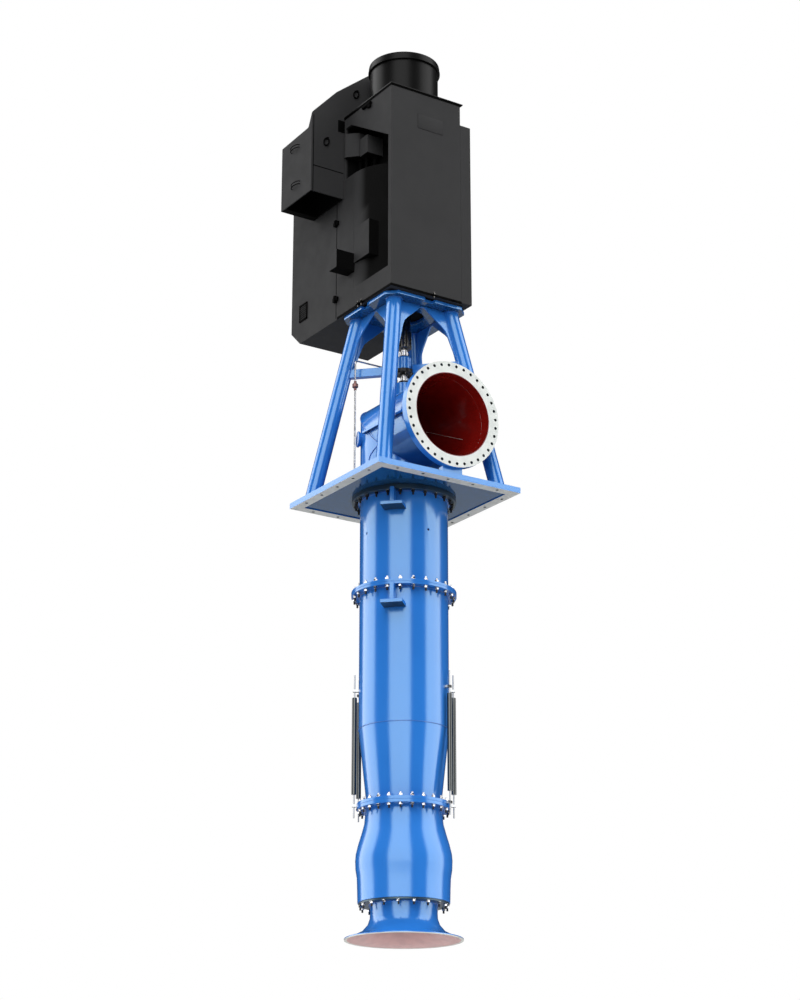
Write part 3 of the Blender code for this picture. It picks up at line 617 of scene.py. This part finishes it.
def box(bm, low, high, bevel=0.0):
    """Adds a box with its edges bevelled."""
    centre = [(a + b) / 2 for a, b in zip(low, high)]
    size = [b - a for a, b in zip(low, high)]
    place = Matrix.Translation(centre) @ Matrix.Diagonal((*size, 1))
    made = bmesh.ops.create_cube(bm, size=1.0, matrix=place)
    if bevel:
        edges = {edge for vert in made["verts"] for edge in vert.link_edges}
        bmesh.ops.bevel(bm, geom=list(edges), offset=bevel, segments=2, profile=0.5, affect="EDGES")
    return bm


def tube(bm, points, radius, sides=8, closed=False):
    """Adds a tube along points."""
    points = [Vector(p) for p in points]
    count = len(points)
    rings = []
    guide = Vector((0.123, 0.456, 0.789))
    for i, point in enumerate(points):
        before = points[i - 1] if closed or i else point
        after = points[(i + 1) % count] if closed or i < count - 1 else point
        along = (after - before).normalized()
        across = along.cross(guide).normalized()
        guide = across.cross(along)
        ring = []
        for j in range(sides):
            turn = 2 * math.pi * j / sides
            ring.append(bm.verts.new(point + radius * (math.cos(turn) * across + math.sin(turn) * guide)))
        rings.append(ring)
    for i in range(count if closed else count - 1):
        low, high = rings[i], rings[(i + 1) % count]
        for j in range(sides):
            k = (j + 1) % sides
            bm.faces.new((low[j], low[k], high[k], high[j]))
    if not closed:
        bm.faces.new(rings[0])
        bm.faces.new(rings[-1])
    return bm


def circle(radius, z, count=96):
    """Points of a level circle about the shaft axis."""
    step = 2 * math.pi / count
    return [(radius * math.cos(step * i), radius * math.sin(step * i), z) for i in range(count)]


def turned_place(radius, turn):
    """A place at a radius and an angle about the shaft axis."""
    return Matrix.Translation((radius * math.cos(turn), radius * math.sin(turn), 0))


def piece(name, bm, paint, body="pump", smooth=40):
    """Turns a mesh about the shaft axis into an object that rides on a body."""
    bmesh.ops.translate(bm, verts=bm.verts, vec=(0, AXIS_Y, 0))
    bmesh.ops.recalc_face_normals(bm, faces=bm.faces)
    mesh = bpy.data.meshes.new(name)
    bm.to_mesh(mesh)
    bm.free()
    mesh.shade_smooth()
    mesh.set_sharp_from_angle(angle=math.radians(smooth))
    mesh.materials.append(paint.material)
    obj = bpy.data.objects.new(name, mesh)
    SCENE.collection.objects.link(obj)
    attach(obj, body)


# Skins over the solids


def dress(name, paint, bevel=0.004, angle=35):
    """Stands a copy with rounded edges and smooth shading in for a CAD node."""
    node = frame["nodes"][name]
    bm = bmesh.new()
    bm.from_mesh(node.data)
    bmesh.ops.remove_doubles(bm, verts=bm.verts, dist=1e-5)
    bmesh.ops.dissolve_limit(bm, angle_limit=math.radians(0.6), verts=bm.verts, edges=bm.edges)
    if bevel:
        limit = math.radians(angle)
        sharp = [e for e in bm.edges if len(e.link_faces) == 2 and e.calc_face_angle() > limit]
        bmesh.ops.bevel(
            bm, geom=sharp, offset=bevel, segments=2, profile=0.5, affect="EDGES", clamp_overlap=True
        )
    mesh = bpy.data.meshes.new(name + "_skin")
    bm.to_mesh(mesh)
    bm.free()
    mesh.shade_smooth()
    mesh.set_sharp_from_angle(angle=math.radians(angle))
    mesh.materials.append(paint.material)
    skin = bpy.data.objects.new(name + "_skin", mesh)
    SCENE.collection.objects.link(skin)
    weighted = skin.modifiers.new("flat faces", "WEIGHTED_NORMAL")
    weighted.keep_sharp = True
    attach(skin, node["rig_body"])
    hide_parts(name)


# For each paint, the solids that wear it and the width of their rounded edges
SKINS = {
    "elbow": [("discharge_elbow", 0.003)],
    "flange": [("discharge_flange", 0.001)],
    "base": [("base_plate", 0.004)],
    "sole": [("sole_frame", 0.001)],
    "shell": [
        ("upper_column", 0.003), ("lower_column", 0.003),
        ("diffuser_bowl", 0.003), ("diffuser_vanes", 0.002),
    ],
    "bell": [("suction_bell", 0.003)],
    "enamel": [
        ("discharge_support", 0.003), ("access_cover", 0.004),
        ("stand_leg_near", 0.002), ("stand_leg_right", 0.002),
        ("stand_leg_far", 0.002), ("stand_leg_left", 0.002),
        ("stand_arch_front", 0.002), ("stand_arch_right", 0.002), ("stand_arch_rear", 0.002),
        ("stand_arch_left", 0.002), ("steady_beam_left", 0.004), ("steady_beam_right", 0.004),
        ("seal_pedestal", 0.003), ("seal_housing", 0.003),
    ],
    "plate": [("stand_top_plate", 0.004)],
    "lug": [
        ("upper_lug_near", 0.004), ("upper_lug_far", 0.004),
        ("lower_lug_near", 0.004), ("lower_lug_far", 0.004),
    ],
    "motor": [("motor_body", 0.006)],
    "casing": [("side_panel", 0.006), ("top_duct", 0.004)],
    "hood": [("air_hood_left", 0.005), ("air_hood_right", 0.005)],
    "box": [("junction_box_upper", 0.008), ("junction_box_middle", 0.008)],
    "low_box": [("junction_box_lower", 0.008), ("terminal_box", 0.004)],
    "cap": [("housing_cap", 0.004), ("bearing_housing", 0.003), ("motor_roof", 0.003)],
    "zinc": [
        ("anode_rod_1", 0.002), ("anode_rod_2", 0.002),
        ("anode_rod_3", 0.002), ("anode_rod_4", 0.002),
    ],
    "steel": [("line_shaft", 0.001), ("shaft_collar", 0.001), ("seal_water_pipe", 0.0)],
    "dark": [("packing_gland", 0.002), ("seal_flange", 0.003)],
    "coupling": [("pump_coupling", 0.002), ("motor_coupling", 0.002)],
    "brass": [("impeller", 0.0), ("seal_water_valve", 0.001)],
}


def dress_solids():
    """Gives every solid its paint and its rounded edges."""
    for key, nodes in SKINS.items():
        for name, bevel in nodes:
            dress(name, PAINTS[key], bevel)


# Bolts


def nut_profile(radius, low, high):
    """A chamfered nut, to be turned with six sides."""
    edge = 0.12 * (high - low)
    return [(radius * 0.86, low), (radius, low + edge), (radius, high - edge), (radius * 0.86, high)]


def bolt_end(nuts, washers, studs, face, way, size, place):
    """One end of a through bolt: washer, nut and stud, going up or down from a flange's face."""
    washer, stud, stud_bevel = 0.005, size * 0.52, 0.003
    past_nut = size * (0.9 if way > 0 else 1.5)
    ends = sorted((face, face + way * washer))
    turned(washers, [(size * 1.15, ends[0]), (size * 1.15, ends[1])], 16, matrix=place)
    tip = face + way * (washer + size)
    turned(nuts, nut_profile(size, *sorted((face + way * washer, tip))), 6, matrix=place)
    far = tip + way * past_nut
    turned(studs, [(stud, tip), (stud, far - way * stud_bevel), (stud * 0.75, far)], 12, matrix=place)


def bolt_row(name, radius, count, low, high=None, size=0.024, shaded_nuts=False):
    """A ring of through bolts. Where no upper face is given, only the lower ends show."""
    bright, dark = bmesh.new(), bmesh.new()
    # Shaded nuts are painted shade: they take the dark steel instead of the bright
    nuts = dark if shaded_nuts else bright
    for i in range(count):
        turn = 2 * math.pi * (i + 0.5) / count
        place = turned_place(radius, turn) @ Matrix.Rotation(turn + NUT_TWIST * i, 4, "Z")
        if high is not None:
            bolt_end(nuts, bright, bright, high, 1, size, place)
        bolt_end(nuts, bright, dark, low, -1, size, place)
    piece(name + "_nuts", bright, PAINTS["bolt"])
    piece(name + "_studs", dark, PAINTS["dark"])


def make_bolt_rows():
    """The bolts of the four joints down the column."""
    joint, half = COLUMN_JOINT_Z, COLUMN_FLANGE_T
    # The head joint's nuts under the base plate are painted dark as shade
    bolt_row("head_joint", 0.592, 24, HEAD_FLANGE_Z, shaded_nuts=True)
    bolt_row("column_joint", 0.602, 24, joint - half, joint + half)
    joint, half = BOWL_JOINT_Z, BOWL_FLANGE_T
    bolt_row("bowl_joint", 0.522, 24, joint - half, joint + half, size=0.022)
    bolt_row("bell_joint", 0.505, 18, BELL_FLANGE_Z, size=0.022)


# Welds and small marks on the pump


def weld_ring(name, radius, z, bead=0.006):
    """A level weld bead round the shaft axis."""
    piece(name, tube(bmesh.new(), circle(radius, z), bead, 8, closed=True), PAINTS["weld"])


def make_pipe_welds():
    """Beads round the column and the elbow's foot."""
    radius, lift = PIPE_R + 0.002, 0.004
    weld_ring("weld_taper", PIPE_R + 0.001, TAPER_TOP_Z, 0.005)
    weld_ring("weld_column_low", radius, COLUMN_JOINT_Z - COLUMN_FLANGE_T - lift)
    weld_ring("weld_column_high", radius, COLUMN_JOINT_Z + COLUMN_FLANGE_T + lift)
    weld_ring("weld_head", radius, HEAD_FLANGE_Z - lift)
    weld_ring("weld_elbow_foot", PIPE_R + 0.003, PLATE_TOP + lift, 0.008)


def make_leg_welds():
    """Beads round the top and the foot of each splayed leg."""
    bm = bmesh.new()
    bead = 0.009
    for side_x in (-1, 1):
        for side_y in (-1, 1):
            for z in (PLATE_TOP + 0.005, STAND_UNDER_Z - 0.006):
                half = LEG_FOOT_HALF - LEG_SLOPE * (z - PLATE_TOP)
                level = circle(LEG_R + 0.004, z, 40)
                ring = [(x + side_x * half, y + side_y * half, h) for x, y, h in level]
                tube(bm, ring, bead, 8, closed=True)
    piece("weld_legs", bm, PAINTS["weld"])


def make_mitre_weld():
    """The bead along the slanting joint of the elbow."""
    mitre = [(x, y, DISCHARGE_Z + y) for x, y, _ in circle(PIPE_R + 0.001, 0)]
    piece("weld_mitre", tube(bmesh.new(), mitre, 0.006, 8, closed=True), PAINTS["weld"])


def make_bore_mark():
    """The thin pale weld that runs along the right wall of the bore."""
    start_y, end_y, start_z, end_z = 0.17, -0.53, 1.06, 0.75
    steps, radius = 12, BORE_R - 0.002
    points = []
    for i in range(steps + 1):
        y = start_y + (end_y - start_y) * i / steps
        z = start_z + (end_z - start_z) * i / steps
        points.append((math.sqrt(radius**2 - (z - DISCHARGE_Z) ** 2), y, z))
    piece("bore_weld", tube(bmesh.new(), points, 0.004, 6), PAINTS["mark"])


def make_elbow_side_line():
    """A curved bead in the welds' paint, along a dark line low on the left side of the elbow."""
    route = (
        (-0.06, 0.78), (-0.13, 0.71), (-0.19, 0.63), (-0.18, 0.57),
        (-0.12, 0.52), (-0.07, 0.48), (-0.04, 0.42),
    )
    points = [(-math.sqrt(PIPE_R**2 - y**2) - 0.001, y, z) for y, z in route]
    piece("elbow_side_line", tube(bmesh.new(), points, 0.008, 8), PAINTS["weld"])


def make_foot_bolts():
    """Small tabs at the foot of the motor's walls, all but one with a jack bolt."""
    tabs, bolts = bmesh.new(), bmesh.new()
    low, high, reach, gap = STAND_TOP_Z + 0.001, STAND_TOP_Z + 0.014, 0.042, 0.001
    half_front, half_left, bevel = 0.030, 0.025, 0.002
    bolt_out, bolted_x, left_ys = 0.022, 0.0, (-0.01, 0.07)
    for x in (bolted_x, 0.30):
        corner = (x - half_front, MOTOR_FRONT - reach, low)
        box(tabs, corner, (x + half_front, MOTOR_FRONT - gap, high), bevel)
    for y in left_ys:
        corner = (MOTOR_LEFT - reach, y - half_left, low)
        box(tabs, corner, (MOTOR_LEFT - gap, y + half_left, high), bevel)
    spots = [(bolted_x, MOTOR_FRONT - bolt_out)] + [(MOTOR_LEFT - bolt_out, y) for y in left_ys]
    for x, y in spots:
        place = Matrix.Translation((x, y, 0))
        turned(bolts, nut_profile(0.017, high, high + 0.022), 6, matrix=place)
        turned(bolts, [(0.009, low - 0.03), (0.009, high + 0.040)], 12, matrix=place)
    piece("foot_tabs", tabs, PAINTS["black"])
    piece("foot_bolts", bolts, PAINTS["coupling"])


def stud_ring(bm, radius, count, stud_ends, nut_ends):
    """A ring of thin studs, each with one nut. The ends are (low, high) heights."""
    stud_r, nut_r = 0.006, 0.011
    for i in range(count):
        place = turned_place(radius, 2 * math.pi * (i + 0.5) / count)
        turned(bm, [(stud_r, z) for z in stud_ends], 10, matrix=place)
        turned(bm, nut_profile(nut_r, *nut_ends), 6, matrix=place)


def make_seal_bolts():
    """Studs round the packing gland and the seal flange."""
    bm = bmesh.new()
    stud_ring(bm, 0.108, 8, (1.645, 1.6825), (1.668, 1.6815))
    stud_ring(bm, 0.087, 4, (1.555, 1.62), (1.556, 1.57))
    piece("seal_studs", bm, PAINTS["coupling"])


def make_coupling_bolts():
    """Nuts above and below the joint of the coupling, which turn with the rotor."""
    bm = bmesh.new()
    radius, nut_r, count = 0.0955, 0.009, 6
    for i in range(count):
        place = turned_place(radius, 2 * math.pi * i / count)
        for low, high in ((2.115, 2.14), (2.06, 2.085)):
            turned(bm, nut_profile(nut_r, low, high), 6, matrix=place)
    piece("coupling_bolts", bm, PAINTS["dark"], body="rotor")


# Motor trim


def on_left_wall(bm, y, z, half_y, half_z, out):
    """A raised block with rounded edges on the motor's left wall."""
    low = (MOTOR_LEFT - out, y - half_y, z - half_z)
    box(bm, low, (MOTOR_LEFT, y + half_y, z + half_z), 0.008)


def make_wall_seam():
    """The upright joint between the front and rear halves of the casing, with its two latches."""
    seam_y, half, low, high = 0.632, 0.006, 2.53, 4.149
    bm = bmesh.new()
    box(bm, (MOTOR_LEFT - 0.002, seam_y - half, low), (MOTOR_LEFT + 0.001, seam_y + half, high))
    piece("casing_seam", bm, PAINTS["black"])
    bm = bmesh.new()
    latch_y = 0.628
    for z in (3.86, 2.79):
        on_left_wall(bm, latch_y, z, 0.055, 0.030, 0.030)
        on_left_wall(bm, latch_y, z, 0.020, 0.048, 0.042)
    piece("casing_latches", bm, PAINTS["black"])


def make_grille():
    """A small louvred vent near the rear of the left wall."""
    y0, y1, z0, z1 = 1.35, 1.545, 2.80, 3.04
    edge, out, bevel = 0.022, 0.014, 0.002
    bm = bmesh.new()
    for low, high in (
        ((y0, z0), (y1, z0 + edge)),
        ((y0, z1 - edge), (y1, z1)),
        ((y0, z0), (y0 + edge, z1)),
        ((y1 - edge, z0), (y1, z1)),
    ):
        box(bm, (MOTOR_LEFT - out, *low), (MOTOR_LEFT, *high), bevel)
    piece("vent_frame", bm, PAINTS["black"])
    bm = bmesh.new()
    count, slat, tilt = 7, 0.004, 0.6
    pitch = (z1 - z0 - 2 * edge) / count
    for i in range(count):
        z = z0 + edge + pitch * (i + 0.5)
        place = Matrix.Translation((MOTOR_LEFT - 0.006, (y0 + y1) / 2, z)) @ Matrix.Rotation(tilt, 4, "Y")
        size = Matrix.Diagonal((slat, y1 - y0 - 2 * edge, pitch * 0.8, 1))
        bmesh.ops.create_cube(bm, size=1.0, matrix=place @ size)
    piece("vent_louvres", bm, PAINTS["casing"])


def handle_points(centre, along, out, length, reach):
    """A pull handle as a half hoop."""
    points = []
    steps = 8
    for i in range(steps + 1):
        turn = math.pi * i / steps
        points.append(centre + along * (0.5 * length * math.cos(turn)) + out * (reach * math.sin(turn)))
    return points


def ring_handle(bm, centre, tilt):
    """An oval ring that hangs on the hood's near face from a small boss."""
    long, short, count, wire, half = 0.058, 0.036, 24, 0.009, 0.016
    up = Vector((math.sin(tilt), 0, math.cos(tilt)))
    side = Vector((math.cos(tilt), 0, -math.sin(tilt)))
    middle = centre + Vector((0, -0.010, 0))
    ring = []
    for i in range(count):
        turn = 2 * math.pi * i / count
        ring.append(middle + up * (long * math.cos(turn)) + side * (short * math.sin(turn)))
    tube(bm, ring, wire, 8, closed=True)
    boss = centre + up * long
    box(bm, boss - Vector((half, half, half)), boss + Vector((half, -0.001, half)), 0.004)


def make_handles():
    """Two rings on the left hood's near face and two pairs of pulls on its side."""
    bm = bmesh.new()
    ring_tilt, length, reach, wire = 0.35, 0.20, 0.045, 0.006
    for x, z in ((-0.456, 5.73), (-0.905, 4.902)):
        ring_handle(bm, Vector((x, HOOD_FRONT - 0.001, z)), ring_tilt)
    left = Vector((-1, 0, 0))
    for y, z in ((0.878, 4.92), (0.846, 4.376)):
        for shift in (-0.02, 0.02):
            middle = Vector((HOOD_LEFT, y, z + shift))
            tube(bm, handle_points(middle, Vector(TO_REAR), left, length, reach), wire)
    piece("hood_handles", bm, PAINTS["black"])


def make_hood_trim():
    """The joints of the hood's near face, and a black block of painted shade beside the roof, where the
    slot between the hood and the left wall lies in shadow.
    """
    bm = bmesh.new()
    front, rear = HOOD_FRONT - 0.002, HOOD_FRONT + 0.001
    box(bm, (-1.10, front, 4.512), (-0.64, rear, 4.524))
    box(bm, (-1.10, front, 4.16), (-1.09, rear, 5.25))
    piece("hood_seams", bm, PAINTS["black"])
    # A black block of painted shade in the slot beside the roof
    bm = bmesh.new()
    box(bm, (-0.727, HOOD_FRONT - 0.012, 5.11), (MOTOR_LEFT - 0.004, HOOD_FRONT, 5.275), 0.003)
    piece("hood_slot_shade", bm, PAINTS["black"])


def make_front_trim():
    """A bare raised plate on the front, and black strips of painted shade under the roof and at the foot,
    where the overhangs' undersides lie in shadow.
    """
    left, front = MOTOR_LEFT - TRIM_OUT, MOTOR_FRONT - TRIM_OUT
    bm = box(bmesh.new(), (-0.222, front, 4.80), (0.155, MOTOR_FRONT, 5.0), 0.002)
    piece("front_plate", bm, PAINTS["casing"])
    # Black strips of painted shade, under the roof and at the foot
    bm = bmesh.new()
    low, high = MOTOR_TOP_Z - 0.020, MOTOR_TOP_Z
    box(bm, (left, front, low), (MOTOR_RIGHT + 0.02, MOTOR_FRONT, high))
    box(bm, (left, MOTOR_FRONT, low), (MOTOR_LEFT, HOOD_FRONT - 0.002, high))
    low, high = STAND_TOP_Z + 0.001, STAND_TOP_Z + 0.032
    box(bm, (left, front, low), (MOTOR_RIGHT, MOTOR_FRONT, high))
    box(bm, (left, MOTOR_FRONT, low), (MOTOR_LEFT, 0.60, high))
    piece("roof_and_foot_shade_strips", bm, PAINTS["black"])


def make_roof_fitting():
    """A small black fitting under the roof's edge on the left wall."""
    bm = bmesh.new()
    on_left_wall(bm, -0.10, 5.255, 0.10, 0.022, 0.035)
    on_left_wall(bm, -0.16, 5.225, 0.035, 0.030, 0.030)
    piece("roof_fitting", bm, PAINTS["black"])


def make_recess_conduits():
    """Short bent conduits between the boxes of the recess."""
    bm = bmesh.new()
    for x, y, low, high, radius in (
        (-0.46, 0.33, 4.45, 4.711, 0.030),
        (-0.40, 0.30, 4.43, 4.711, 0.022),
        (-0.42, 0.05, 4.43, 4.641, 0.026),
        (-0.50, 0.12, 4.48, 4.641, 0.018),
    ):
        place = Matrix.Translation((x, y, 0))
        turned(bm, [(radius, low), (radius, high)], 16, matrix=place)
        turned(bm, nut_profile(radius * 1.5, high - 0.045, high - 0.012), 6, matrix=place)
    route = [
        (-0.42, 0.30, 5.05), (-0.43, 0.24, 5.10), (-0.44, 0.16, 5.12),
        (-0.45, 0.09, 5.07), (-0.45, 0.07, 4.89),
    ]
    tube(bm, route, 0.024, 12)
    piece("recess_conduits", bm, PAINTS["black"])


def make_housing_trim():
    """The cap's lower lip and its ring of bolts."""
    outer, inner, top = 0.472, 0.44, 5.955
    lip = [(outer, top), (outer, 5.935), (inner, 5.9305), (inner, top)]
    piece("cap_lip", turned(bmesh.new(), lip, 64, hollow=True), PAINTS["cap"])
    bm = bmesh.new()
    count, radius = 12, 0.41
    for i in range(count):
        place = turned_place(radius, 2 * math.pi * (i + 0.5) / count)
        turned(bm, nut_profile(0.014, 6.038, 6.05), 6, matrix=place)
    piece("cap_bolts", bm, PAINTS["dark"])


make_camera()
PAINTS = make_paints()
make_world()
make_floor()
dress_solids()
make_bolt_rows()
make_pipe_welds()
make_leg_welds()
make_mitre_weld()
make_bore_mark()
make_elbow_side_line()
make_foot_bolts()
make_seal_bolts()
make_coupling_bolts()
make_wall_seam()
make_grille()
make_handles()
make_hood_trim()
make_front_trim()
make_roof_fitting()
make_recess_conduits()
make_housing_trim()
